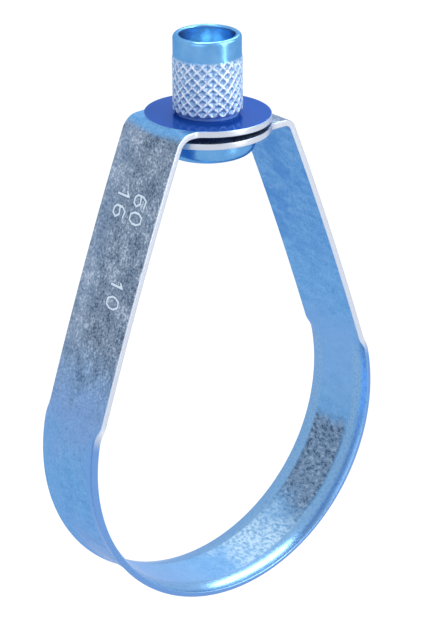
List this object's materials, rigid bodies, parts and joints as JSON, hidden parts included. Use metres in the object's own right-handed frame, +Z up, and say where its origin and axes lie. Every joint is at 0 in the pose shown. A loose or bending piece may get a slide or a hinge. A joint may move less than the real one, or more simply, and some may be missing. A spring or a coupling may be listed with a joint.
{
  "type": "swivel ring hanger",
  "caption": "Teardrop swivel ring hanger: a zinc-plated strip band with flared edges and stacked eyelets hangs a pipe from a knurled nut on a threaded rod.",
  "frame": {"origin": "centre of the pipe, in the middle of the ring's width", "axes": "+Z up the hanger rod, +Y along the pipe, +X across the ring, with the upper eyelet on the -X arm"},
  "size_m": [0.0672, 0.0232, 0.109],
  "materials": {
    "band_steel": "blue-bright zinc plating on rolled strip, softly mottled, smooth at the coined eyelets",
    "nut_steel": "blue-bright zinc plating on a turned and knurled nut"
  },
  "bodies": {
    "nut": {"insert_nut": "nut_steel"},
    "band": {"ring_band": "band_steel"}
  },
  "joints": [
    {"name": "band_swivel", "type": "hinge", "parent": "nut", "child": "band", "pos_m": [0, 0, 0.0585], "axis": [0, 0, 1], "continuous": true}
  ]
}
